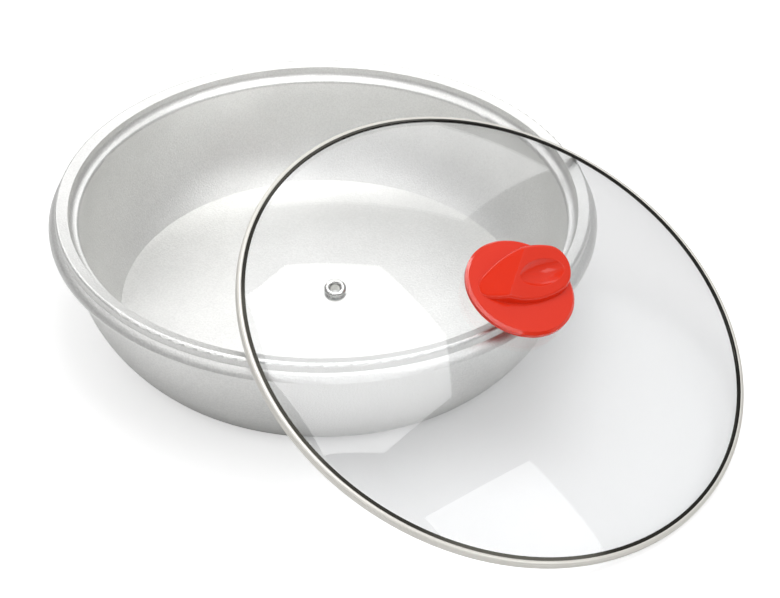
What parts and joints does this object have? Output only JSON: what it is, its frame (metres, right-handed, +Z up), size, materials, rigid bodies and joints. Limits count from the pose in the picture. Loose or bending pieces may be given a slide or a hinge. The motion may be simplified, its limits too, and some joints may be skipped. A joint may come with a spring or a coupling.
{
  "type": "hot pot pan with glass lid",
  "caption": "Wide round aluminium hot pot pan with a turned-down skirt and a loose domed glass lid, steel-banded, vented and red-knobbed, leaning on the lip.",
  "frame": {"origin": "centre of the pan's flat underside", "axes": "+Z up out of the pan, +X towards the side on which the lid leans to the table"},
  "size_m": [0.394, 0.291, 0.1043],
  "materials": {
    "pan_aluminium": "satin, fine-grained",
    "clear_glass": "polished, clear",
    "band_steel": "polished",
    "eyelet_steel": "polished",
    "washer_steel": "plain",
    "knob_plastic": "glossy red",
    "gasket_rubber": "matt, translucent white",
    "insert_brass": "plain",
    "screw_steel": "plain"
  },
  "bodies": {
    "pan": {"pan": "pan_aluminium"},
    "lid": {"lid_glass": "clear_glass", "rim_band": "band_steel", "vent_eyelet": "eyelet_steel", "vent_washer": "washer_steel", "knob": "knob_plastic", "knob_gasket": "gasket_rubber", "glass_gasket": "gasket_rubber", "knob_insert": "insert_brass", "lid_screw": "screw_steel", "lock_washer": "washer_steel", "flat_washer": "washer_steel"}
  },
  "joints": [
    {"name": "lid_lift", "type": "slide", "parent": "pan", "child": "lid", "axis": [0, 0, 1], "range_m": [0, 0.12]}
  ]
}
